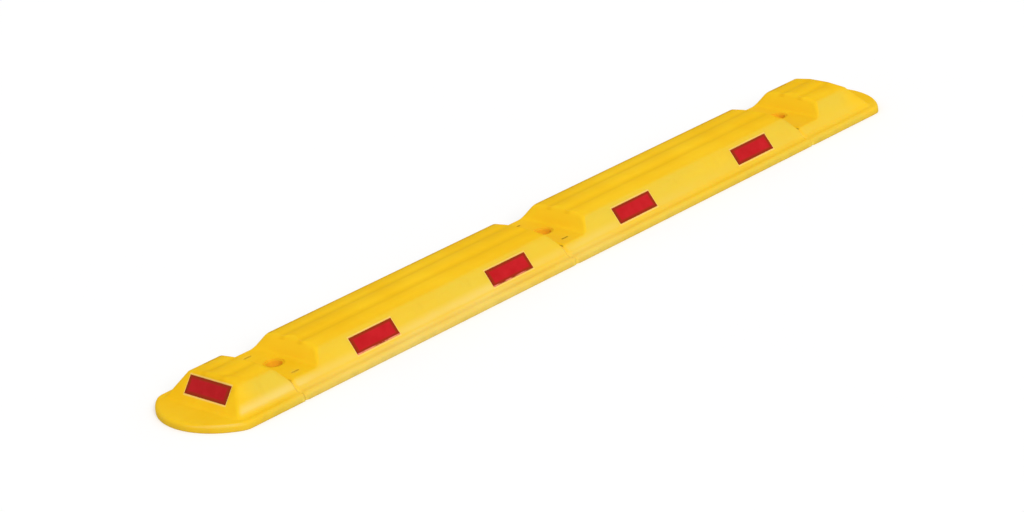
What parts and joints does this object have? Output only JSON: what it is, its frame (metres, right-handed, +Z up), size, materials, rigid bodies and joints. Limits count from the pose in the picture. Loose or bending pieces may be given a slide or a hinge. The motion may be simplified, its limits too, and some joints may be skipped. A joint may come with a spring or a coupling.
{
  "type": "modular lane separator barrier",
  "caption": "Low yellow moulded plastic lane barrier: hollow ribbed ridge sections and rounded ends hooked together on upright pivots, with red reflectors and ground anchor holes.",
  "frame": {"origin": "on the ground under the middle pivot, at the middle of the row", "axes": "+X along the row towards the rear end piece, +Z up"},
  "size_m": [1.34, 0.167, 0.046],
  "materials": {
    "yellow_plastic": "satin moulded polyethylene",
    "red_reflector": "prismatic reflecting strip"
  },
  "bodies": {
    "front_end": {"front_end_piece": "yellow_plastic", "front_reflector": "red_reflector"},
    "section_1": {"ridge_section_1": "yellow_plastic", "near_reflector_1a": "red_reflector", "near_reflector_1b": "red_reflector", "far_reflector_1a": "red_reflector", "far_reflector_1b": "red_reflector"},
    "section_2": {"ridge_section_2": "yellow_plastic", "near_reflector_2a": "red_reflector", "near_reflector_2b": "red_reflector", "far_reflector_2a": "red_reflector", "far_reflector_2b": "red_reflector"},
    "rear_end": {"rear_end_piece": "yellow_plastic", "rear_reflector": "red_reflector"}
  },
  "joints": [
    {"name": "front_pivot", "type": "hinge", "parent": "section_1", "child": "front_end", "pos_m": [-0.5, 0, 0.02], "axis": [0, 0, 1], "range_deg": [-1.3, 1.3]},
    {"name": "middle_pivot", "type": "hinge", "parent": "section_1", "child": "section_2", "pos_m": [0, 0, 0.02], "axis": [0, 0, 1], "range_deg": [-1.3, 1.3]},
    {"name": "rear_pivot", "type": "hinge", "parent": "section_2", "child": "rear_end", "pos_m": [0.5, 0, 0.02], "axis": [0, 0, 1], "range_deg": [-1.3, 1.3]}
  ]
}
